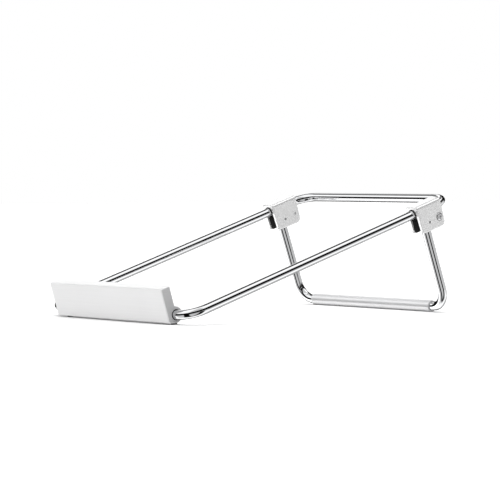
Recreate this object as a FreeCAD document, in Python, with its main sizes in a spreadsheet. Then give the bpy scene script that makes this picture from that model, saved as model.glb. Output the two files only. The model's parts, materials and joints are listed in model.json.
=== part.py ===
import FreeCAD, Part
import math
import os
import Sketcher
from FreeCAD import Rotation, Vector

# A folding laptop stand. A loop of bent round tube carries the laptop and a lip across its
# front bar stops the laptop sliding off. A bracket is clamped on each side rail near the back.
# A U-shaped tube leg swings between the plates of the two brackets and stands on a plain sleeve.
#
# World frame: X to the right, Y from the lip towards the back, Z up, origin on the floor at the
# middle of the footprint. Two inclined frames are used:
#   rail frame  origin on the front bar's axis, Y up along the rails, Z square to them
#   leg frame   origin on the leg's hinge axis, Z up along the leg's arms

doc = FreeCAD.newDocument("LaptopStand")

# ---------------------------------------------------------------- driving dimensions
SIZES = {
    # frame tube and its loop
    "tube_od": 8.0,
    "tube_wall": 1.0,
    "bend_radius": 16.5,
    "rail_spacing": 194.0,
    "rail_length": 308.6,
    "incline": 17.6,
    "front_bar_y": -141.166,
    "front_bar_z": 8.25,
    "splice_gap": 0.4,
    "splice_pin_od": 5.96,
    "splice_pin_length": 44.0,
    # front lip
    "lip_length": 156.0,
    "lip_height": 25.6,
    "lip_plate": 9.7,
    "lip_front": 8.8,
    "lip_boss_radius": 7.1,
    "lip_gusset_angle": 60.0,
    "lip_bore": 9.2,
    "lip_corner_radius": 2.2,
    "lip_toe_radius": 1.6,
    "lip_edge_radius": 1.2,
    "bush_length": 9.0,
    "bush_inset": 0.4,
    "set_screw_od": 3.0,
    "set_screw_length": 2.4,
    "set_screw_socket": 1.5,
    "set_screw_x": 55.0,
    "foot_od": 5.0,
    "foot_x": 72.5,
    "foot_stem_od": 2.4,
    "foot_stem_top": 4.9,
    "foot_stem_root": 0.5,
    # brackets, measured in the rail frame
    "bracket_front": 262.3,
    "bracket_rear": 292.0,
    "bracket_top": 7.0,
    "bracket_bottom": -18.3,
    "bracket_width": 15.2,
    "bracket_slot": 9.5,
    "bracket_slant": 1.4,
    "bracket_top_radius": 2.6,
    "bracket_rear_radius": 4.2,
    "bracket_front_radius": 4.0,
    "bracket_edge_radius": 0.9,
    "liner_front": 264.9,
    "collar_front": 261.7,
    "liner_rear": 291.0,
    "liner_bottom": -18.1,
    "liner_slot": 8.5,
    "liner_neck": -1.2,
    "liner_corner": 2.6,
    "stop_gap": 0.3,
    "stop_thickness": 4.0,
    "stop_top": -13.0,
    # hinge and clamp hardware
    "pivot_along": 273.8,
    "pivot_drop": 10.4,
    "pivot_pin_od": 2.5,
    "pivot_clearance": 0.05,
    "pivot_pin_inset": 0.5,
    "clamp_along": 286.4,
    "clamp_drop": 9.2,
    "clamp_screw_od": 3.0,
    "clamp_clearance": 0.2,
    "clamp_tip_inset": 0.6,
    "clamp_head_od": 6.8,
    "clamp_head_height": 1.5,
    "clamp_head_dome": 0.9,
    "cross_span": 4.08,
    "cross_bar": 0.96,
    "cross_depth": 0.9,
    "clamp_recess_od": 7.6,
    "clamp_recess_depth": 0.8,
    "clamp_nut_flats": 5.5,
    "clamp_nut_height": 2.0,
    "clamp_nut_depth": 1.0,
    "spacer_od": 5.6,
    # rear leg, measured in the leg frame; its length brings the sleeve down to the floor:
    # (hinge height - sleeve_od / 2) / cos(incline + leg_lean)
    "leg_length": 80.91,
    "leg_lean": 2.66,
    "plug_length": 14.0,
    "sleeve_od": 10.44,
    "sleeve_bore": 8.1,
    "sleeve_length": 158.0,
    "sleeve_edge": 0.5,
}

sheet = doc.addObject("Spreadsheet::Sheet", "Sizes")
for row, (alias, number) in enumerate(SIZES.items(), start=1):
    sheet.set("A%d" % row, alias)
    sheet.set("B%d" % row, str(number))
    sheet.setAlias("B%d" % row, alias)
doc.recompute()


def size(alias):
    """The number in the sheet's cell of that name."""
    return float(sheet.get(alias))


# ---------------------------------------------------------------- placing the pieces
X_AXIS = Vector(1, 0, 0)
HINGE_Y = "(Sizes.front_bar_y + Sizes.pivot_along * cos(Sizes.incline * 1deg)" \
          " + Sizes.pivot_drop * sin(Sizes.incline * 1deg))"
HINGE_Z = "(Sizes.front_bar_z + Sizes.pivot_along * sin(Sizes.incline * 1deg)" \
          " - Sizes.pivot_drop * cos(Sizes.incline * 1deg))"


def tilt(item, angle):
    """Turn a piece about X by the expression's angle in degrees."""
    item.Placement.Rotation = Rotation(X_AXIS, 1)
    item.setExpression("Placement.Rotation.Angle", angle)


def place_on_rails(item, shift_x="0"):
    """Put a piece modelled in the rail frame in its place, moved sideways by shift_x."""
    tilt(item, "Sizes.incline")
    item.setExpression("Placement.Base.x", shift_x)
    item.setExpression("Placement.Base.y", "Sizes.front_bar_y")
    item.setExpression("Placement.Base.z", "Sizes.front_bar_z")


def place_on_leg(item):
    """Put a piece modelled in the leg frame in its place."""
    tilt(item, "Sizes.incline + Sizes.leg_lean")
    item.setExpression("Placement.Base.y", HINGE_Y)
    item.setExpression("Placement.Base.z", HINGE_Z)


def rail_x(side):
    """The expression for the X of one rail's axis, side -1 on the left and 1 on the right."""
    return "%d * Sizes.rail_spacing / 2" % side


# ---------------------------------------------------------------- sketching helpers
def origin_plane(body, role):
    """One of a body's own three planes."""
    return next(item for item in body.Origin.OriginFeatures if item.Role == role)


def new_body(name):
    return doc.addObject("PartDesign::Body", name)


def new_sketch(body, role, name):
    sketch = body.newObject("Sketcher::SketchObject", name)
    sketch.AttachmentSupport = [(origin_plane(body, role), "")]
    sketch.MapMode = "FlatFace"
    return sketch


def bound_circle(sketch, diameter, across="0", up="0"):
    """A circle whose diameter and centre follow expressions."""
    circle = sketch.addGeometry(Part.Circle(Vector(1, 1, 0), Vector(0, 0, 1), 2), False)
    named = (
        ("Diameter", Sketcher.Constraint("Diameter", circle, 4), diameter),
        ("Across", Sketcher.Constraint("DistanceX", -1, 1, circle, 3, 1), across),
        ("Up", Sketcher.Constraint("DistanceY", -1, 1, circle, 3, 1), up),
    )
    for label, constraint, expression in named:
        index = sketch.addConstraint(constraint)
        sketch.setExpression("Constraints[%d]" % index, expression)
    return circle


def draw(sketch, edges):
    for edge in edges:
        sketch.addGeometry(edge, False)


def line(start, end):
    return Part.LineSegment(Vector(start[0], start[1], 0), Vector(end[0], end[1], 0))


def arc(start, middle, end):
    points = [Vector(p[0], p[1], 0) for p in (start, middle, end)]
    return Part.Arc(*points)


def polar(radius, degrees):
    angle = math.radians(degrees)
    return (radius * math.cos(angle), radius * math.sin(angle))


def rounded_path(points, radius):
    """Straight runs through the points, joined by tangent arcs of one radius at square corners."""
    edges = []
    start = Vector(*points[0], 0)
    for before, corner, after in zip(points, points[1:], points[2:]):
        bend = Vector(*corner, 0)
        inward = (bend - Vector(*before, 0)).normalize()
        outward = (Vector(*after, 0) - bend).normalize()
        leave = bend - inward * radius
        rejoin = bend + outward * radius
        centre = leave + outward * radius
        middle = centre + (bend - centre).normalize() * radius
        edges.append(Part.LineSegment(start, leave))
        edges.append(Part.Arc(leave, middle, rejoin))
        start = rejoin
    edges.append(Part.LineSegment(start, Vector(*points[-1], 0)))
    return edges


def pad(body, sketch, length, name="Pad", both_ways=True):
    """Extrude a sketch by an expression's length, half each way unless told otherwise."""
    feature = body.newObject("PartDesign::Pad", name)
    feature.Profile = sketch
    feature.setExpression("Length", length)
    if both_ways:
        feature.SideType = "Symmetric"
    return feature


def pocket(body, sketch, name, length=None):
    """Cut a sketch right through both ways, or to an expression's depth on one side."""
    feature = body.newObject("PartDesign::Pocket", name)
    feature.Profile = sketch
    if length is None:
        feature.SideType = "Symmetric"
        feature.Type = "ThroughAll"
    else:
        feature.setExpression("Length", length)
    return feature


def near(value, target):
    return abs(value - target) < 0.02


def find_edges(shape, wanted):
    """Names of a shape's edges whose two end points together satisfy the test."""
    names = []
    for index, edge in enumerate(shape.Edges, start=1):
        ends = [vertex.Point for vertex in edge.Vertexes]
        if len(ends) == 2 and wanted(*ends):
            names.append("Edge%d" % index)
    return names


def round_edges(body, wanted, radius, name):
    doc.recompute()
    base = body.Tip
    feature = body.newObject("PartDesign::Fillet", name)
    feature.Base = (base, find_edges(base.Shape, wanted))
    feature.setExpression("Radius", radius)
    return feature


def cylinder_along_x(name, diameter, length, start_x, along="0", up="0"):
    """A Part cylinder lying along X in its own frame, every size an expression."""
    rod = doc.addObject("Part::Cylinder", name)
    rod.setExpression("Radius", "(%s) / 2" % diameter)
    rod.setExpression("Height", length)
    rod.Placement.Rotation = Rotation(Vector(0, 1, 0), 90)
    rod.setExpression("Placement.Base.x", start_x)
    rod.setExpression("Placement.Base.y", along)
    rod.setExpression("Placement.Base.z", up)
    return rod


def cut(name, base, tool):
    feature = doc.addObject("Part::Cut", name)
    feature.Base = base
    feature.Tool = tool
    return feature


def fuse(name, items):
    feature = doc.addObject("Part::MultiFuse", name)
    feature.Shapes = items
    return feature


def mirror_x(item, name):
    """The left-hand copy of a right-hand piece."""
    feature = doc.addObject("Part::Mirroring", name)
    feature.Source = item
    feature.Normal = X_AXIS
    return feature


def hexagon(name, flats, height):
    """A hexagonal prism given across its flats, its axis along Z."""
    prism = doc.addObject("Part::Prism", name)
    prism.Polygon = 6
    prism.setExpression("Circumradius", "(%s) / sqrt(3)" % flats)
    prism.setExpression("Height", height)
    return prism


parts = []


def keep(item, label):
    """Give a finished piece its name and list it for writing."""
    item.Label = label
    parts.append(item)
    return item


# ---------------------------------------------------------------- tubes
def bent_tube(name, points, path_role, profile_role, across="0"):
    """A bent tube that follows a rounded path from its first point."""
    body = new_body(name)
    path = new_sketch(body, path_role, name + "Path")
    draw(path, rounded_path(points, size("bend_radius")))
    section = new_sketch(body, profile_role, name + "Section")
    bound_circle(section, "Sizes.tube_od", across)
    bound_circle(section, "Sizes.tube_od - 2 * Sizes.tube_wall", across)
    sweep = body.newObject("PartDesign::AdditivePipe", name + "Sweep")
    sweep.Profile = section
    sweep.Spine = path
    return body


def make_frame_tube():
    """Closed loop of tube whose two ends meet in the middle of the front bar."""
    half = size("rail_spacing") / 2
    back = size("rail_length")
    start = size("splice_gap") / 2
    loop = [(start, 0), (half, 0), (half, back), (-half, back), (-half, 0), (-start, 0)]
    body = bent_tube("FrameTube", loop, "XY_Plane", "YZ_Plane")
    section = doc.getObject("FrameTubeSection")
    section.setExpression("AttachmentOffset.Base.z", "Sizes.splice_gap / 2")
    place_on_rails(body)
    return keep(body, "top_frame_tube")


def make_splice_pin():
    """The plain rod inside the loop's two meeting ends, hidden in the lip."""
    body = new_body("SplicePin")
    section = new_sketch(body, "YZ_Plane", "SplicePinSection")
    bound_circle(section, "Sizes.splice_pin_od")
    pad(body, section, "Sizes.splice_pin_length", "SplicePinPad")
    place_on_rails(body)
    return keep(body, "frame_splice_pin")


# ---------------------------------------------------------------- front lip
def lip_toe():
    """Height of the lip's lower front corner: its underside is level with the desk."""
    incline = math.radians(size("incline"))
    return (size("lip_front") * math.sin(incline) - size("lip_boss_radius")) / math.cos(incline)


def lip_outline():
    """End view of the lip: a plate whose foot closes round the front bar's boss."""
    boss = size("lip_boss_radius")
    top = size("lip_height")
    face = -size("lip_front")
    back_face = size("lip_plate") + face
    gusset = size("lip_gusset_angle")
    tangent = polar(boss, gusset)
    rise = (boss - back_face * math.cos(math.radians(gusset))) / math.sin(math.radians(gusset))
    lowest = -90 - size("incline")
    return [
        line((face, lip_toe()), (face, top)),
        line((face, top), (back_face, top)),
        line((back_face, top), (back_face, rise)),
        line((back_face, rise), tangent),
        arc(tangent, polar(boss, (lowest + gusset) / 2), polar(boss, lowest)),
        line(polar(boss, lowest), (face, lip_toe())),
    ]


def make_lip():
    """Extruded lip across the front bar, drilled below for its screws and feet."""
    body = new_body("Lip")
    section = new_sketch(body, "YZ_Plane", "LipSection")
    draw(section, lip_outline())
    bound_circle(section, "Sizes.lip_bore")
    pad(body, section, "Sizes.lip_length", "LipPad")
    end = size("lip_length") / 2
    top = size("lip_height")

    def toe(a, b):
        return near(a.y, b.y) and near(a.z, lip_toe()) and near(b.z, lip_toe())

    def top_corner(a, b):
        return near(a.x, b.x) and near(abs(a.x), end) and near(a.z, top) and near(b.z, top)

    def plate_rim(a, b):
        across_top = near(a.y, b.y) and near(a.z, top) and near(b.z, top)
        down_side = near(a.x, b.x) and near(abs(a.x), end) and near(a.y, b.y)
        return across_top or down_side
    round_edges(body, toe, "Sizes.lip_toe_radius", "LipToe")
    round_edges(body, top_corner, "Sizes.lip_corner_radius", "LipCorners")
    round_edges(body, plate_rim, "Sizes.lip_edge_radius", "LipRim")
    doc.recompute()
    below = new_sketch(body, "XY_Plane", "LipHoles")
    for side in (-1, 1):
        bound_circle(below, "Sizes.set_screw_od", "%d * Sizes.set_screw_x" % side)
        bound_circle(below, "Sizes.foot_stem_od", "%d * Sizes.foot_x" % side)
    pocket(body, below, "LipDrill", "Sizes.lip_boss_radius + 1")
    place_on_rails(body)
    return keep(body, "front_lip")


def make_lip_bush(side, label):
    """Plastic bush between the lip's bore and the tube at one end of the lip."""
    body = new_body("LipBush")
    section = new_sketch(body, "YZ_Plane", body.Name + "Section")
    bound_circle(section, "Sizes.lip_bore")
    bound_circle(section, "Sizes.tube_od")
    pad(body, section, "Sizes.bush_length", body.Name + "Pad")
    middle = "%d * (Sizes.lip_length / 2 - Sizes.bush_inset - Sizes.bush_length / 2)" % side
    place_on_rails(body, middle)
    return keep(body, label)


def make_set_screw(side):
    """A socket set screw in the underside of the lip, its tip on the tube."""
    shank = doc.addObject("Part::Cylinder", "SetScrewShank")
    shank.setExpression("Radius", "Sizes.set_screw_od / 2")
    shank.setExpression("Height", "Sizes.set_screw_length")
    shank.setExpression("Placement.Base.z", "-Sizes.tube_od / 2 - Sizes.set_screw_length")
    socket = hexagon("SetScrewSocket", "Sizes.set_screw_socket", "Sizes.set_screw_length / 2")
    socket.setExpression("Placement.Base.z", "-Sizes.tube_od / 2 - Sizes.set_screw_length")
    screw = cut("SetScrew", shank, socket)
    place_on_rails(screw, "%d * Sizes.set_screw_x" % side)
    return screw


def make_set_screws():
    """The two set screws that stop the lip turning on the tube."""
    group = doc.addObject("Part::Compound", "SetScrews")
    group.Links = [make_set_screw(side) for side in (-1, 1)]
    return keep(group, "lip_set_screws")


def make_lip_foot(side, label):
    """A push-in rubber foot: a round pad moulded to the lip, with a stem up into it."""
    foot_x = "%d * Sizes.foot_x" % side
    under_y = "Sizes.front_bar_y + Sizes.lip_boss_radius * sin(Sizes.incline * 1deg)"
    disc = doc.addObject("Part::Cylinder", "FootPad")
    disc.setExpression("Radius", "Sizes.foot_od / 2")
    disc.setExpression("Height", "Sizes.front_bar_z / 2")
    disc.setExpression("Placement.Base.x", foot_x)
    disc.setExpression("Placement.Base.y", under_y)
    boss = cylinder_along_x("FootSaddle", "2 * Sizes.lip_boss_radius", "2 * Sizes.foot_od",
                            foot_x + " - Sizes.foot_od", "Sizes.front_bar_y", "Sizes.front_bar_z")
    under = doc.addObject("Part::Box", "FootSeat")
    under.setExpression("Length", "2 * Sizes.foot_od")
    under.setExpression("Width", "Sizes.foot_od")
    under.setExpression("Height", "Sizes.front_bar_z")
    under.setExpression("Placement.Base.x", foot_x + " - Sizes.foot_od")
    under.setExpression("Placement.Base.y", "Sizes.front_bar_y - Sizes.foot_od")
    under.setExpression("Placement.Base.z", "Sizes.front_bar_z - Sizes.lip_boss_radius")
    base = cut("FootBase", disc, fuse("FootLip", [boss, under]))
    stem = doc.addObject("Part::Cylinder", "FootStem")
    stem.setExpression("Radius", "Sizes.foot_stem_od / 2")
    reach = "(Sizes.lip_boss_radius + Sizes.foot_stem_root)"
    stem.setExpression("Height", "%s - Sizes.foot_stem_top" % reach)
    place_on_rails(stem, foot_x)
    stem.setExpression("Placement.Base.y", "Sizes.front_bar_y + %s * sin(Sizes.incline * 1deg)" % reach)
    stem.setExpression("Placement.Base.z", "Sizes.front_bar_z - %s * cos(Sizes.incline * 1deg)" % reach)
    return keep(fuse("Foot", [base, stem]), label)


# ---------------------------------------------------------------- brackets
def bracket_side_view():
    """Outline of a bracket's plates seen from the side, in the rail frame."""
    front = size("bracket_front")
    rear = size("bracket_rear")
    top = size("bracket_top")
    low = size("bracket_bottom")
    toe = front + size("bracket_slant")
    return [(front, top), (rear, top), (rear, low), (toe, low), (front, 0)]


def polygon(points):
    return [line(start, end) for start, end in zip(points, points[1:] + points[:1])]


def nut_blank(name):
    """The clamp nut's hexagon, sunk part of its height into the inner plate."""
    blank = hexagon(name, "Sizes.clamp_nut_flats", "Sizes.clamp_nut_height")
    blank.Placement.Rotation = Rotation(Vector(0, 1, 0), 90)
    blank.setExpression("Placement.Base.x", "-Sizes.bracket_slot / 2 - Sizes.clamp_nut_depth")
    blank.setExpression("Placement.Base.y", "Sizes.clamp_along")
    blank.setExpression("Placement.Base.z", "-Sizes.clamp_drop")
    return blank


def make_bracket_shell(side, label):
    """Cast shell: an arch over the rail with a plate hanging down on each side of the leg."""
    body = new_body("Shell")
    profile = new_sketch(body, "YZ_Plane", body.Name + "Side")
    draw(profile, polygon(bracket_side_view()))
    pad(body, profile, "Sizes.bracket_width", body.Name + "Pad")

    slot = size("bracket_slot") / 2
    below = size("bracket_bottom") - 1
    opening = new_sketch(body, "XZ_Plane", body.Name + "Slot")
    draw(opening, [
        line((-slot, below), (slot, below)),
        line((slot, below), (slot, 0)),
        arc((slot, 0), (0, slot), (-slot, 0)),
        line((-slot, 0), (-slot, below)),
    ])
    pocket(body, opening, body.Name + "SlotCut")

    half = size("bracket_width") / 2
    top = size("bracket_top")
    low = size("bracket_bottom")
    front = size("bracket_front")
    rear = size("bracket_rear")
    toe = front + size("bracket_slant")
    crown = size("bracket_top_radius")

    def corner_below(along):
        return lambda a, b: all(near(end.z, low) and near(end.y, along) for end in (a, b))

    def crown_edge(a, b):
        return near(a.x, b.x) and near(abs(a.x), half) and near(a.z, top) and near(b.z, top)

    def outer_edge(a, b):
        end_face = near(a.y, b.y) and (near(a.y, front) or near(a.y, rear))
        outside = min(abs(a.x), abs(b.x)) > slot + 0.1 or (near(a.z, top) and near(b.z, top))
        side_face = near(abs(a.x), half) and near(abs(b.x), half)
        smooth = near(a.z, top - crown) and near(b.z, top - crown)
        return (end_face and outside) or (side_face and not smooth)
    round_edges(body, corner_below(rear), "Sizes.bracket_rear_radius", body.Name + "Heel")
    round_edges(body, corner_below(toe), "Sizes.bracket_front_radius", body.Name + "Toe")
    round_edges(body, crown_edge, "Sizes.bracket_top_radius", body.Name + "Crown")
    round_edges(body, outer_edge, "Sizes.bracket_edge_radius", body.Name + "Soft")

    pins = new_sketch(body, "YZ_Plane", body.Name + "Pins")
    bound_circle(pins, "Sizes.pivot_pin_od", "Sizes.pivot_along", "-Sizes.pivot_drop")
    bound_circle(pins, "Sizes.clamp_screw_od + Sizes.clamp_clearance", "Sizes.clamp_along",
                 "-Sizes.clamp_drop")
    pocket(body, pins, body.Name + "PinCut")

    recess = cylinder_along_x(body.Name + "Recess", "Sizes.clamp_recess_od", "2 * Sizes.clamp_recess_depth",
                              "Sizes.bracket_width / 2 - Sizes.clamp_recess_depth",
                              "Sizes.clamp_along", "-Sizes.clamp_drop")
    nut = nut_blank(body.Name + "NutSeat")
    shell = cut(body.Name + "Machined", body, fuse(body.Name + "Tools", [recess, nut]))
    if side < 0:
        shell = mirror_x(shell, body.Name + "Mirror")
    place_on_rails(shell, rail_x(side))
    return keep(shell, label)


def make_bracket_liner(side, label):
    """Black liner inside the arch and plates, with the web that stops the opened leg."""
    body = new_body("Liner")
    outer = size("bracket_slot") / 2
    bore = size("tube_od") / 2
    inner = size("liner_slot") / 2
    neck = size("liner_neck")
    low = size("liner_bottom")
    waist = math.sqrt(bore ** 2 - neck ** 2)
    section = new_sketch(body, "XZ_Plane", body.Name + "Section")
    draw(section, [
        line((-outer, low), (-outer, 0)),
        arc((-outer, 0), (0, outer), (outer, 0)),
        line((outer, 0), (outer, low)),
        line((outer, low), (inner, low)),
        line((inner, low), (inner, neck)),
        line((inner, neck), (waist, neck)),
        arc((waist, neck), (0, bore), (-waist, neck)),
        line((-waist, neck), (-inner, neck)),
        line((-inner, neck), (-inner, low)),
        line((-inner, low), (-outer, low)),
    ])
    section.setExpression("AttachmentOffset.Base.z", "-(Sizes.liner_front + Sizes.liner_rear) / 2")
    pad(body, section, "Sizes.liner_rear - Sizes.liner_front", body.Name + "Pad")
    collar = new_sketch(body, "XZ_Plane", body.Name + "Collar")
    draw(collar, [
        line((-outer, neck), (-outer, 0)),
        arc((-outer, 0), (0, outer), (outer, 0)),
        line((outer, 0), (outer, neck)),
        line((outer, neck), (waist, neck)),
        arc((waist, neck), (0, bore), (-waist, neck)),
        line((-waist, neck), (-outer, neck)),
    ])
    collar.setExpression("AttachmentOffset.Base.z", "-(Sizes.collar_front + Sizes.liner_rear) / 2")
    pad(body, collar, "Sizes.liner_rear - Sizes.collar_front", body.Name + "CollarPad")

    lean = math.radians(size("leg_lean"))
    reach = (size("tube_od") / 2 + size("stop_gap")) / math.cos(lean)
    web = size("stop_thickness")
    web_top = size("stop_top")

    def leg_axis(height):
        return size("pivot_along") - (height + size("pivot_drop")) * math.tan(lean)
    stop = new_sketch(body, "YZ_Plane", body.Name + "Stop")
    draw(stop, polygon([
        (leg_axis(low) + reach, low),
        (leg_axis(low) + reach + web, low),
        (leg_axis(web_top) + reach + web, web_top),
        (leg_axis(web_top) + reach, web_top),
    ]))
    pad(body, stop, "Sizes.bracket_slot", body.Name + "StopPad")

    front = size("liner_front")
    rear = size("liner_rear")

    def corner_below(a, b):
        same_end = near(a.y, b.y) and (near(a.y, front) or near(a.y, rear))
        return near(a.z, low) and near(b.z, low) and same_end
    round_edges(body, corner_below, "Sizes.liner_corner", body.Name + "Corners")
    pins = new_sketch(body, "YZ_Plane", body.Name + "Pins")
    bound_circle(pins, "Sizes.pivot_pin_od", "Sizes.pivot_along", "-Sizes.pivot_drop")
    bound_circle(pins, "2 * Sizes.clamp_nut_flats / sqrt(3) + Sizes.clamp_clearance",
                 "Sizes.clamp_along", "-Sizes.clamp_drop")
    pocket(body, pins, body.Name + "PinCut")
    place_on_rails(body, rail_x(side))
    return keep(body, label)


# ---------------------------------------------------------------- hinge and clamp hardware
def make_pivot_pin(side, label):
    """Plain pin through both plates, on which one arm of the leg turns."""
    body = new_body("PivotPin")
    section = new_sketch(body, "YZ_Plane", body.Name + "Section")
    bound_circle(section, "Sizes.pivot_pin_od", "Sizes.pivot_along", "-Sizes.pivot_drop")
    pad(body, section, "Sizes.bracket_width - 2 * Sizes.pivot_pin_inset", body.Name + "Pad")
    place_on_rails(body, rail_x(side))
    return keep(body, label)


def make_cross_recess(name):
    """The cross-shaped driver recess, as two crossed bars sunk into the head."""
    floor_x = "Sizes.bracket_width / 2 - Sizes.clamp_recess_depth + Sizes.clamp_head_height" \
              " - Sizes.cross_depth"
    bars = []
    long_side, short_side = "Sizes.cross_span", "Sizes.cross_bar"
    for span, thickness in ((long_side, short_side), (short_side, long_side)):
        bar = doc.addObject("Part::Box", name + "Bar")
        bar.setExpression("Length", "Sizes.clamp_head_height")
        bar.setExpression("Width", span)
        bar.setExpression("Height", thickness)
        bar.setExpression("Placement.Base.x", floor_x)
        bar.setExpression("Placement.Base.y", "Sizes.clamp_along - %s / 2" % span)
        bar.setExpression("Placement.Base.z", "-Sizes.clamp_drop - %s / 2" % thickness)
        bars.append(bar)
    return fuse(name, bars)


def make_clamp_screw(side, label):
    """Cross-head screw that pinches the two plates together on the rail."""
    seat = "Sizes.bracket_width / 2 - Sizes.clamp_recess_depth"
    tip = "-Sizes.bracket_width / 2 + Sizes.clamp_tip_inset"
    shank = cylinder_along_x("ClampShank", "Sizes.clamp_screw_od", "%s - (%s)" % (seat, tip), tip,
                             "Sizes.clamp_along", "-Sizes.clamp_drop")
    head = cylinder_along_x("ClampHead", "Sizes.clamp_head_od", "Sizes.clamp_head_height", seat,
                            "Sizes.clamp_along", "-Sizes.clamp_drop")
    doc.recompute()
    rim_x = size("bracket_width") / 2 - size("clamp_recess_depth") + size("clamp_head_height")
    dome = size("clamp_head_dome")
    domed = doc.addObject("Part::Fillet", "ClampDome")
    domed.Base = head
    domed.Edges = [
        (index, dome, dome) for index, edge in enumerate(head.Shape.Edges, start=1)
        if all(near(vertex.Point.x, rim_x) for vertex in edge.Vertexes)
    ]
    screw = cut("ClampScrew", fuse("ClampBlank", [shank, domed]), make_cross_recess("ClampCross"))
    if side < 0:
        screw = mirror_x(screw, "ClampScrewLeft")
    place_on_rails(screw, rail_x(side))
    return keep(screw, label)


def make_clamp_nut(side, label):
    """Nut half sunk into the inner plate, where it cannot turn."""
    thread = cylinder_along_x("ClampNutThread", "Sizes.clamp_screw_od", "Sizes.bracket_width",
                              "-Sizes.bracket_width", "Sizes.clamp_along", "-Sizes.clamp_drop")
    nut = cut("ClampNut", nut_blank("ClampNutBlank"), thread)
    if side < 0:
        nut = mirror_x(nut, "ClampNutLeft")
    place_on_rails(nut, rail_x(side))
    return keep(nut, label)


def make_clamp_spacer(side, label):
    """Sleeve on the clamp screw that keeps the plates from closing on the leg."""
    start = "-Sizes.bracket_slot / 2 - Sizes.clamp_nut_depth + Sizes.clamp_nut_height"
    length = "Sizes.bracket_slot + Sizes.clamp_nut_depth - Sizes.clamp_nut_height"
    outside = cylinder_along_x("SpacerOutside", "Sizes.spacer_od", length, start,
                               "Sizes.clamp_along", "-Sizes.clamp_drop")
    inside = cylinder_along_x("SpacerInside", "Sizes.clamp_screw_od + Sizes.clamp_clearance", length, start,
                              "Sizes.clamp_along", "-Sizes.clamp_drop")
    spacer = cut("Spacer", outside, inside)
    if side < 0:
        spacer = mirror_x(spacer, "SpacerLeft")
    place_on_rails(spacer, rail_x(side))
    return keep(spacer, label)


# ---------------------------------------------------------------- rear leg
def rounded_end_tool(name):
    """Everything above the hinge axis that lies outside the round nose of an arm."""
    nose = size("tube_od") / 2
    reach = size("rail_spacing") + 4 * nose
    block = Part.makeBox(reach, 4 * nose, 3 * nose, Vector(-reach / 2, -2 * nose, 0))
    round_nose = Part.makeCylinder(nose, reach, Vector(-reach / 2, 0, 0), X_AXIS)
    tool = doc.addObject("Part::Feature", name)
    tool.Shape = block.cut(round_nose)
    return tool


def hinge_hole(name):
    """The running-fit hole for the pins through both arms."""
    diameter = "Sizes.pivot_pin_od + 2 * Sizes.pivot_clearance"
    return cylinder_along_x(name, diameter, "Sizes.rail_spacing + 2 * Sizes.tube_od",
                            "-Sizes.rail_spacing / 2 - Sizes.tube_od")


def make_leg_tube():
    """U-shaped leg: two arms with round, drilled noses joined by a cross bar."""
    half = size("rail_spacing") / 2
    nose = size("tube_od") / 2
    low = -size("leg_length")
    body = new_body("LegTube")
    path = new_sketch(body, "XZ_Plane", "LegTubePath")
    corners = [(half, nose), (half, low), (-half, low), (-half, nose)]
    draw(path, rounded_path(corners, size("bend_radius")))
    section = new_sketch(body, "XY_Plane", "LegTubeSection")
    section.setExpression("AttachmentOffset.Base.z", "Sizes.tube_od / 2")
    bound_circle(section, "Sizes.tube_od", "Sizes.rail_spacing / 2")
    bound_circle(section, "Sizes.tube_od - 2 * Sizes.tube_wall", "Sizes.rail_spacing / 2")
    sweep = body.newObject("PartDesign::AdditivePipe", "LegTubeSweep")
    sweep.Profile = section
    sweep.Spine = path
    doc.recompute()
    tools = fuse("LegTubeTools", [rounded_end_tool("LegTubeNose"), hinge_hole("LegTubeHinge")])
    leg = cut("LegTubeDrilled", body, tools)
    place_on_leg(leg)
    return keep(leg, "leg_tube")


def make_leg_plug(side, label):
    """Plug that stiffens the end of an arm and carries the hinge pin."""
    blank = doc.addObject("Part::Cylinder", "LegPlugBlank")
    blank.setExpression("Radius", "Sizes.tube_od / 2 - Sizes.tube_wall")
    blank.setExpression("Height", "Sizes.plug_length")
    blank.setExpression("Placement.Base.x", rail_x(side))
    blank.setExpression("Placement.Base.z", "Sizes.tube_od / 2 - Sizes.plug_length")
    tools = fuse("LegPlugTools", [rounded_end_tool("LegPlugNose"), hinge_hole("LegPlugHinge")])
    plug = cut("LegPlug", blank, tools)
    place_on_leg(plug)
    return keep(plug, label)


def make_foot_sleeve():
    """Plain sleeve over the leg's cross bar, the part that stands on the desk."""
    body = new_body("FootSleeve")
    section = new_sketch(body, "YZ_Plane", "FootSleeveSection")
    bound_circle(section, "Sizes.sleeve_od", "0", "-Sizes.leg_length")
    bound_circle(section, "Sizes.sleeve_bore", "0", "-Sizes.leg_length")
    pad(body, section, "Sizes.sleeve_length", "FootSleevePad")
    outer = size("sleeve_od") / 2
    doc.recompute()
    rims = []
    for index, edge in enumerate(body.Shape.Edges, start=1):
        if isinstance(edge.Curve, Part.Circle) and near(edge.Curve.Radius, outer):
            rims.append("Edge%d" % index)
    fillet = body.newObject("PartDesign::Fillet", "FootSleeveRims")
    fillet.Base = (doc.getObject("FootSleevePad"), rims)
    fillet.setExpression("Radius", "Sizes.sleeve_edge")
    place_on_leg(body)
    return keep(body, "foot_sleeve")


# ---------------------------------------------------------------- the whole stand
make_frame_tube()
make_splice_pin()
make_lip()
make_set_screws()
make_leg_tube()
make_foot_sleeve()
for side, hand in ((-1, "left"), (1, "right")):
    make_lip_bush(side, "lip_end_bush_" + hand)
    make_lip_foot(side, "lip_foot_" + hand)
    make_bracket_shell(side, "bracket_shell_" + hand)
    make_bracket_liner(side, "bracket_liner_" + hand)
    make_pivot_pin(side, "leg_pivot_pin_" + hand)
    make_clamp_screw(side, "clamp_screw_" + hand)
    make_clamp_nut(side, "clamp_nut_" + hand)
    make_clamp_spacer(side, "clamp_spacer_" + hand)
    make_leg_plug(side, "leg_end_plug_" + hand)

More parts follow.
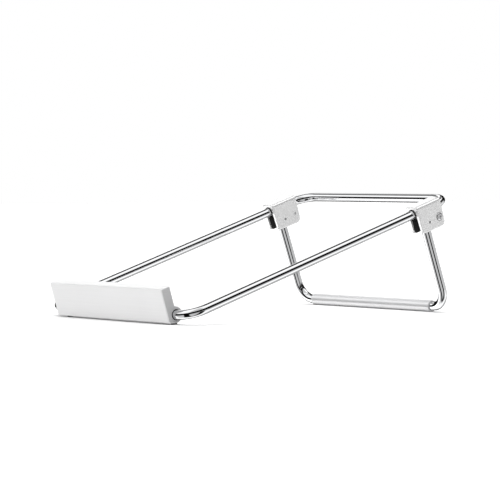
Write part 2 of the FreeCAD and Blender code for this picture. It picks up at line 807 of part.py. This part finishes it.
doc.recompute()
failed = [item.Name for item in doc.Objects if "Invalid" in item.State or "Error" in item.State]
if failed:
    raise RuntimeError("objects failed to compute: " + ", ".join(failed))
for item in parts:
    if item.Shape.isNull() or not item.Shape.isValid():
        raise RuntimeError(item.Label + " has no valid shape")

os.makedirs("parts", exist_ok=True)
for item in parts:
    item.Shape.exportStep("parts/" + item.Label + ".step")
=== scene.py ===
import json
import math

import bpy
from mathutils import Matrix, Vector


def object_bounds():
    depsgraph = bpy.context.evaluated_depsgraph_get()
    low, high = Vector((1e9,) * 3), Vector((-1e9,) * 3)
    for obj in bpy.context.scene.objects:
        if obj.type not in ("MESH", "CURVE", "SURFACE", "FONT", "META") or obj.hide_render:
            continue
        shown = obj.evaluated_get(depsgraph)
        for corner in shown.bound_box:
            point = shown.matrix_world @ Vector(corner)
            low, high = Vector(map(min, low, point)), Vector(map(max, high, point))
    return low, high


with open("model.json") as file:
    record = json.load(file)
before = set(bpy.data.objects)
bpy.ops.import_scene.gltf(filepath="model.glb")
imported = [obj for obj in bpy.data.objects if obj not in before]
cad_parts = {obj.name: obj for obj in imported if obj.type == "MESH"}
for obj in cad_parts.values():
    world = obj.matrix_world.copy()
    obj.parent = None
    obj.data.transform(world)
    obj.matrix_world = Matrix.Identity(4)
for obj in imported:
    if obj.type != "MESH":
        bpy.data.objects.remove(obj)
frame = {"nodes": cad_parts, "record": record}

# Folding laptop stand: polished tube loop and leg, satin aluminium lip and sleeve, coated brackets with
# black liners. Every visible piece is a node of the frame, so this script gives the finishes, the floor,
# the studio that the polished tube mirrors, and the camera. Lengths are in metres.

CAD_BOX = [list(corner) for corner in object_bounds()]
NODES = frame["nodes"]
WHITE = (1, 1, 1, 1)
NOISE_RANGE = (0.3, 0.7)            # nearly all values of a noise texture lie between these

# ------------------------------------------------------------------ node-tree helpers


def new_material(name):
    material = bpy.data.materials.new(name)
    material.use_nodes = True
    tree = material.node_tree
    shader = tree.nodes["Principled BSDF"]
    return material, tree, shader


def add(tree, kind, **settings):
    node = tree.nodes.new(kind)
    for key, value in settings.items():
        setattr(node, key, value)
    return node


def join(tree, source, target):
    tree.links.new(source, target)


def coordinates(tree, scale=(1, 1, 1)):
    """Object coordinates in metres, stretched by scale."""
    place = add(tree, "ShaderNodeTexCoord")
    mapping = add(tree, "ShaderNodeMapping")
    mapping.inputs["Scale"].default_value = scale
    join(tree, place.outputs["Object"], mapping.inputs["Vector"])
    return mapping.outputs["Vector"]


def noise(tree, where, scale, detail):
    """Soft noise; scale is features per unit of where."""
    node = add(tree, "ShaderNodeTexNoise")
    node.inputs["Scale"].default_value = scale
    node.inputs["Detail"].default_value = detail
    node.inputs["Roughness"].default_value = 0.55
    join(tree, where, node.inputs["Vector"])
    return node.outputs["Fac"]


def remap(tree, value, low, high, to_low, to_high):
    node = add(tree, "ShaderNodeMapRange", clamp=True)
    node.inputs["From Min"].default_value = low
    node.inputs["From Max"].default_value = high
    node.inputs["To Min"].default_value = to_low
    node.inputs["To Max"].default_value = to_high
    join(tree, value, node.inputs["Value"])
    return node.outputs["Result"]


def maths(tree, operation, *values):
    node = add(tree, "ShaderNodeMath", operation=operation)
    for slot, value in zip(node.inputs, values):
        if isinstance(value, (int, float)):
            slot.default_value = value
        else:
            join(tree, value, slot)
    return node.outputs["Value"]


def blend(tree, first, share_of_first, second):
    """A weighted sum of two patterns."""
    return maths(tree, "ADD", maths(tree, "MULTIPLY", first, share_of_first),
                 maths(tree, "MULTIPLY", second, 1 - share_of_first))


def tint(tree, factor, dark, light):
    """A colour between two greys or tints, by factor."""
    node = add(tree, "ShaderNodeMix", data_type="RGBA")
    node.inputs["A"].default_value = (*dark, 1)
    node.inputs["B"].default_value = (*light, 1)
    join(tree, factor, node.inputs["Factor"])
    return node.outputs["Result"]


def bump(tree, shader, height, strength, distance):
    node = add(tree, "ShaderNodeBump")
    node.inputs["Strength"].default_value = strength
    node.inputs["Distance"].default_value = distance
    join(tree, height, node.inputs["Height"])
    join(tree, node.outputs["Normal"], shader.inputs["Normal"])


# ------------------------------------------------------------------ materials


def chrome():
    """Polished plating: nearly a mirror, with a faint ripple and wiped patches."""
    material, tree, shader = new_material("polished_chrome")
    shader.inputs["Metallic"].default_value = 1.0
    where = coordinates(tree)
    wiped = noise(tree, where, scale=45.0, detail=4.0)
    fine = noise(tree, where, scale=900.0, detail=2.0)
    ripple = noise(tree, where, scale=160.0, detail=2.0)
    join(tree, tint(tree, wiped, (0.80, 0.805, 0.815), (0.87, 0.875, 0.885)), shader.inputs["Base Color"])
    haze = maths(tree, "MULTIPLY", wiped, fine)
    haze_range = (0.12, 0.45)
    join(tree, remap(tree, haze, *haze_range, 0.035, 0.085), shader.inputs["Roughness"])
    bump(tree, shader, ripple, strength=0.03, distance=0.0004)
    return material


def satin_aluminium(name, metallic, dark, light, end_colour, roughness):
    """Extruded along X and anodised: fine die lines along the length, duller saw-cut ends; faces that look
    along X get a darker colour.
    """
    material, tree, shader = new_material(name)
    shader.inputs["Metallic"].default_value = metallic
    lines = noise(tree, coordinates(tree, scale=(12, 900, 900)), scale=1.0, detail=3.0)
    grain = noise(tree, coordinates(tree), scale=2600.0, detail=2.0)
    cloud = noise(tree, coordinates(tree), scale=30.0, detail=3.0)
    surface = add(tree, "ShaderNodeNewGeometry")
    parts = add(tree, "ShaderNodeSeparateXYZ")
    join(tree, surface.outputs["Normal"], parts.inputs["Vector"])
    squareness = (0.82, 0.97)       # how nearly a face looks along X before it starts to be, and is, an end
    end = remap(tree, maths(tree, "ABSOLUTE", parts.outputs["X"]), *squareness, 0.0, 1.0)
    mix = add(tree, "ShaderNodeMix", data_type="RGBA")
    join(tree, end, mix.inputs["Factor"])
    join(tree, tint(tree, blend(tree, cloud, 0.35, lines), dark, light), mix.inputs["A"])
    # faces that look along X, the ends, take this darker colour
    mix.inputs["B"].default_value = (*end_colour, 1)
    join(tree, mix.outputs["Result"], shader.inputs["Base Color"])
    satin = remap(tree, lines, *NOISE_RANGE, *roughness)
    end_roughness = 0.1
    rougher = maths(tree, "MULTIPLY", end, end_roughness)
    join(tree, maths(tree, "ADD", satin, rougher), shader.inputs["Roughness"])
    grain_share = 0.5
    height = maths(tree, "ADD", lines, maths(tree, "MULTIPLY", grain, grain_share))
    bump(tree, shader, height, strength=0.12, distance=0.00012)
    return material


def coated_casting():
    """Die-cast alloy under a smooth silver-white coat with a fine orange peel."""
    material, tree, shader = new_material("silver_white_coat")
    shader.inputs["Metallic"].default_value = 0.55
    where = coordinates(tree)
    cloud = noise(tree, where, scale=90.0, detail=4.0)
    fleck = noise(tree, where, scale=2200.0, detail=2.0)
    peel = noise(tree, where, scale=700.0, detail=2.0)
    shade = blend(tree, cloud, 0.6, fleck)
    join(tree, tint(tree, shade, (0.78, 0.78, 0.782), (0.84, 0.84, 0.84)), shader.inputs["Base Color"])
    join(tree, remap(tree, cloud, *NOISE_RANGE, 0.18, 0.24), shader.inputs["Roughness"])
    bump(tree, shader, peel, strength=0.08, distance=0.00012)
    return material


def moulded(name, dark, light, roughness, grain_scale, grain, specular):
    """Moulded plastic or rubber: slight cloud in the colour, fine grain in the surface."""
    material, tree, shader = new_material(name)
    where = coordinates(tree)
    cloud = noise(tree, where, scale=60.0, detail=4.0)
    fine = noise(tree, where, scale=grain_scale, detail=3.0)
    rub = noise(tree, where, scale=140.0, detail=5.0)
    join(tree, tint(tree, cloud, dark, light), shader.inputs["Base Color"])
    join(tree, remap(tree, rub, *NOISE_RANGE, *roughness), shader.inputs["Roughness"])
    shader.inputs["Specular IOR Level"].default_value = specular
    bump(tree, shader, fine, strength=grain, distance=0.0001)
    return material


def worked_steel(name, dark, light, roughness):
    """Turned and plated small hardware, with fine rings round X."""
    material, tree, shader = new_material(name)
    shader.inputs["Metallic"].default_value = 1.0
    turned = noise(tree, coordinates(tree, scale=(3000, 300, 300)), scale=1.0, detail=2.0)
    stain = noise(tree, coordinates(tree), scale=300.0, detail=4.0)
    join(tree, tint(tree, stain, dark, light), shader.inputs["Base Color"])
    join(tree, remap(tree, turned, *NOISE_RANGE, *roughness), shader.inputs["Roughness"])
    bump(tree, shader, turned, strength=0.1, distance=0.00005)
    return material


def paint_nodes():
    """Give each node the look of its material slot in the record, and the sleeve its own brighter satin."""
    looks = {
        "chromed_tube": chrome(),
        "lip_aluminium": satin_aluminium(
            "satin_lip", metallic=0.25, dark=(0.62, 0.62, 0.622), light=(0.73, 0.73, 0.732),
            end_colour=(0.47, 0.47, 0.475), roughness=(0.36, 0.46)),
        "shell_alloy": coated_casting(),
        "black_plastic": moulded(
            "black_moulding", dark=(0.016, 0.016, 0.016), light=(0.042, 0.042, 0.042),
            roughness=(0.55, 0.70), grain_scale=2400.0, grain=0.35, specular=0.15),
        "foot_rubber": moulded(
            "foot_rubber", dark=(0.016, 0.016, 0.016), light=(0.03, 0.03, 0.03),
            roughness=(0.62, 0.80), grain_scale=1800.0, grain=0.3, specular=0.3),
        "zinc_steel": worked_steel(
            "zinc_plate", dark=(0.80, 0.80, 0.81), light=(0.90, 0.90, 0.91), roughness=(0.14, 0.26)),
        "plain_steel": worked_steel(
            "turned_steel", dark=(0.40, 0.40, 0.41), light=(0.52, 0.52, 0.53), roughness=(0.28, 0.42)),
    }
    sleeve = satin_aluminium(
        "satin_sleeve", metallic=0.46, dark=(0.66, 0.66, 0.668), light=(0.70, 0.70, 0.708),
        end_colour=(0.58, 0.58, 0.59), roughness=(0.26, 0.34))
    for entry in frame["record"]["subparts"]:
        look = sleeve if entry["node"] == "foot_sleeve" else looks[entry["material_slot"]]
        for material_slot in NODES[entry["node"]].material_slots:
            material_slot.material = look


# ------------------------------------------------------------------ floor


def floor():
    """A plain pale floor that polished metal doesn't mirror."""
    half = 6.0
    mesh = bpy.data.meshes.new("floor")
    corners = [(-half, -half, 0), (half, -half, 0), (half, half, 0), (-half, half, 0)]
    mesh.from_pydata(corners, [], [(0, 1, 2, 3)])
    plane = bpy.data.objects.new("floor", mesh)
    bpy.context.scene.collection.objects.link(plane)
    material, tree, shader = new_material("pale_floor")
    shader.inputs["Base Color"].default_value = (0.72, 0.72, 0.72, 1)
    shader.inputs["Roughness"].default_value = 0.9
    shader.inputs["Specular IOR Level"].default_value = 0.0
    mesh.materials.append(material)
    plane.visible_glossy = False


# ------------------------------------------------------------------ studio
# Reflections see white surroundings with a dark band, darker patches and two upright strips, all fixed in
# the room. Heights and edges below are components of a unit direction.

MIRRORED_LIGHT = 1.25               # strength of the white surroundings, in reflections only
DARKEST = 0.004

# The band lies round a plane that is tilted along REAR_RIGHT: its height there is BAND_HEIGHT + BAND_TILT.
REAR_RIGHT = (0.7071, 0.7071, 0)
BAND_TILT = 0.242
BAND_HEIGHT = 0.208
BAND_TOP = (0.28, 0.35)             # above the plane: dark below the first height, white from the second
BAND_BOTTOM = (0.218, 0.02)         # below the plane: where it starts to fade, and how much lower that is
                                    # at REAR_RIGHT
BAND_FADE = (0.30, 0.20)            # the depth of the fade, and how much deeper it is at REAR_RIGHT

# Patches: middle direction, cosines at the outer and inner edge, and brightness inside.
TOPS_PATCH = (-0.772, 0.490, 0.406), 0.986, 0.996, 1.0      # mirrored by the tops of brackets and lip
SIDE_PATCH = (0.20, 0.97, -0.10), 0.88, 0.98, 0.65          # mirrored by the right flank of the leg
FRONTS_PATCH = (-0.764, -0.507, -0.397), 0.93, 0.985, 1.5   # mirrored by the brackets' front edges
DARK_PATCHES = [
    ((-0.45, 0.38, 0.81), 0.90, 0.95, 0.04),                # upper dark line of the rails
    ((-0.73, 0.03, 0.68), 0.93, 0.97, 0.16),                # upper dark line of the back bar
    ((-0.70, 0.50, -0.50), 0.86, 0.93, 0.06),               # lower dark line of the back bar
    ((-0.10, 0.80, -0.58), 0.86, 0.93, 0.40),               # lower grey line of the rails
    ((-0.20, -0.85, -0.49), 0.80, 0.90, 0.58),              # grey flank of the leg
]

# Two upright dark strips on the near side, below the horizon: the pair of dark lines along the leg.
NEAR_SIDE = (0.707, -0.707, 0)
STRIP_ALONG = [(-0.103, 0.995, 0), (0.953, 0.302, 0)]       # each strip is where one of these is near 0
STRIP_EDGE = (0.19, 0.28)           # dark nearer than the first, gone from the second
STRIP_TOP = (-0.10, -0.02)          # the same for their upper ends
STRIP_NEAR = (0.1, 0.3)             # along NEAR_SIDE: no strips before the first, full from the second
GROUND_NEAR = (0.0, 0.2)            # the same for the two brightnesses below
BETWEEN_STRIPS = 0.5
OUTSIDE_STRIPS = 0.9
BETWEEN_EDGE = 0.15

# Soft light on everything that isn't a mirror: strongest overhead, some from the front.
OVERHEAD_LIGHT = 3.0
FRONT_LIGHT = 1.0


def towards(tree, direction, axis):
    """Cosine between the direction and an axis."""
    node = add(tree, "ShaderNodeVectorMath", operation="DOT_PRODUCT")
    join(tree, direction, node.inputs[0])
    node.inputs[1].default_value = axis
    return node.outputs["Value"]


def patch(tree, direction, axis, outer, inner, brightness, around=1.0):
    """Brightness inside a round patch, and around it."""
    return remap(tree, towards(tree, direction, axis), outer, inner, around, brightness)


def darker(tree, first, *others):
    for other in others:
        first = maths(tree, "MINIMUM", first, other)
    return first


def brighter(tree, first, *others):
    for other in others:
        first = maths(tree, "MAXIMUM", first, other)
    return first


def sloping(tree, along, level_and_slope):
    """A height or depth that changes evenly towards REAR_RIGHT."""
    level, slope = level_and_slope
    return maths(tree, "ADD", maths(tree, "MULTIPLY", along, slope), level)


def dark_band(tree, direction, z):
    """The tilted dark band, opened by the two bright patches."""
    along = towards(tree, direction, REAR_RIGHT)
    rise = maths(tree, "SUBTRACT", z, sloping(tree, along, (BAND_HEIGHT, BAND_TILT)))
    above = remap(tree, rise, *BAND_TOP, 0.0, 1.0)
    sunk = maths(tree, "SUBTRACT", maths(tree, "MULTIPLY", rise, -1), sloping(tree, along, BAND_BOTTOM))
    fade = maths(tree, "DIVIDE", sunk, sloping(tree, along, BAND_FADE))
    below = remap(tree, fade, 0.0, 1.0, 0.0, 1.0)
    bright = brighter(tree, above, below, patch(tree, direction, *TOPS_PATCH, around=0.0),
                      patch(tree, direction, *SIDE_PATCH, around=0.0))
    return remap(tree, bright, 0.0, 1.0, DARKEST, 1.0)


def upright_strips(tree, direction, z):
    """The two dark strips, and the brightness between and beside them."""
    right, front = [towards(tree, direction, axis) for axis in STRIP_ALONG]
    near = towards(tree, direction, NEAR_SIDE)
    edge = darker(tree, maths(tree, "ABSOLUTE", right), maths(tree, "ABSOLUTE", front))
    strips = brighter(tree, remap(tree, edge, *STRIP_EDGE, DARKEST, 1.0),
                      remap(tree, z, *STRIP_TOP, 0.0, 1.0),
                      remap(tree, near, *STRIP_NEAR, 1.0, 0.0))
    outside = brighter(tree, remap(tree, right, -BETWEEN_EDGE, 0.0, 0.0, 1.0),
                       remap(tree, front, BETWEEN_EDGE, 0.0, 0.0, 1.0))
    ground = brighter(tree, remap(tree, outside, 0.0, 1.0, BETWEEN_STRIPS, OUTSIDE_STRIPS),
                      remap(tree, near, *GROUND_NEAR, 1.0, 0.0))
    return strips, ground


def mirrored_light(tree, direction, z):
    """What polished and satin metal sees in each direction."""
    level = darker(tree, dark_band(tree, direction, z),
                   *[patch(tree, direction, *dark) for dark in DARK_PATCHES])
    strips, ground = upright_strips(tree, direction, z)
    for factor in (strips, patch(tree, direction, *FRONTS_PATCH), ground, MIRRORED_LIGHT):
        level = maths(tree, "MULTIPLY", level, factor)
    return level


def soft_light(tree, direction, z):
    """What lights matt surfaces."""
    overhead = maths(tree, "MULTIPLY", maths(tree, "MULTIPLY", z, z), OVERHEAD_LIGHT)
    front = remap(tree, towards(tree, direction, (0, -1, 0)), 0.0, 1.0, 0.0, FRONT_LIGHT)
    return maths(tree, "ADD", overhead, front)


def white_background(tree):
    node = add(tree, "ShaderNodeBackground")
    node.inputs["Color"].default_value = WHITE
    node.inputs["Strength"].default_value = 1.0
    return node


def studio():
    """The world: plain white to the camera, with the mirrored and the soft light round it."""
    world = bpy.data.worlds.new("studio")
    bpy.context.scene.world = world
    world.use_nodes = True
    tree = world.node_tree
    tree.nodes.clear()
    direction = add(tree, "ShaderNodeTexCoord").outputs["Generated"]
    z = towards(tree, direction, (0, 0, 1))
    ray = add(tree, "ShaderNodeLightPath")
    glossy = ray.outputs["Is Glossy Ray"]
    mirrored = maths(tree, "MULTIPLY", mirrored_light(tree, direction, z), glossy)
    soft = maths(tree, "MULTIPLY", soft_light(tree, direction, z), maths(tree, "SUBTRACT", 1.0, glossy))
    around = white_background(tree)
    join(tree, maths(tree, "ADD", mirrored, soft), around.inputs["Strength"])
    backdrop = white_background(tree)
    mix = add(tree, "ShaderNodeMixShader")
    join(tree, ray.outputs["Is Camera Ray"], mix.inputs["Fac"])
    join(tree, around.outputs["Background"], mix.inputs[1])
    join(tree, backdrop.outputs["Background"], mix.inputs[2])
    output = add(tree, "ShaderNodeOutputWorld")
    join(tree, mix.outputs["Shader"], output.inputs["Surface"])


def overhead_softbox():
    """A wide lamp above the stand, for the soft shadows; mirrors don't show it."""
    light = bpy.data.lights.new("overhead", "AREA")
    light.shape = "DISK"
    light.size = 4.0
    light.energy = 18.0
    lamp = bpy.data.objects.new("overhead", light)
    bpy.context.scene.collection.objects.link(lamp)
    lamp.location = (0.4, -0.3, 3.0)
    lamp.rotation_mode = "QUATERNION"
    lamp.rotation_quaternion = (-lamp.location).to_track_quat("-Z", "Y")
    lamp.visible_glossy = False


# ------------------------------------------------------------------ camera

CAMERA_AZIMUTH = 49.868             # degrees; 0 looks along +Y
CAMERA_ELEVATION = 1.824
CAMERA_DISTANCE = 2.176
AIM_OFFSET = (0.00179, 0.00232, 0.00384)    # the picture's centre, from the middle of the stand's box


def camera():
    """Nearly level, from the front right, with a long lens."""
    azimuth = math.radians(CAMERA_AZIMUTH)
    elevation = math.radians(CAMERA_ELEVATION)
    view = Vector((-math.sin(azimuth) * math.cos(elevation),
                   math.cos(azimuth) * math.cos(elevation),
                   -math.sin(elevation)))
    low, high = [Vector(corner) for corner in CAD_BOX]
    aim = (low + high) / 2 + Vector(AIM_OFFSET)
    data = bpy.data.cameras.new("camera")
    data.lens = 177.75
    data.sensor_width = 36.0
    data.clip_start = 0.05
    data.clip_end = 60.0
    eye = bpy.data.objects.new("camera", data)
    bpy.context.scene.collection.objects.link(eye)
    eye.location = aim - view * CAMERA_DISTANCE
    eye.rotation_mode = "QUATERNION"
    eye.rotation_quaternion = view.to_track_quat("-Z", "Y")
    bpy.context.scene.camera = eye


paint_nodes()
floor()
studio()
overhead_softbox()
camera()
bpy.context.scene.view_settings.view_transform = "Standard"

bpy.context.view_layer.update()
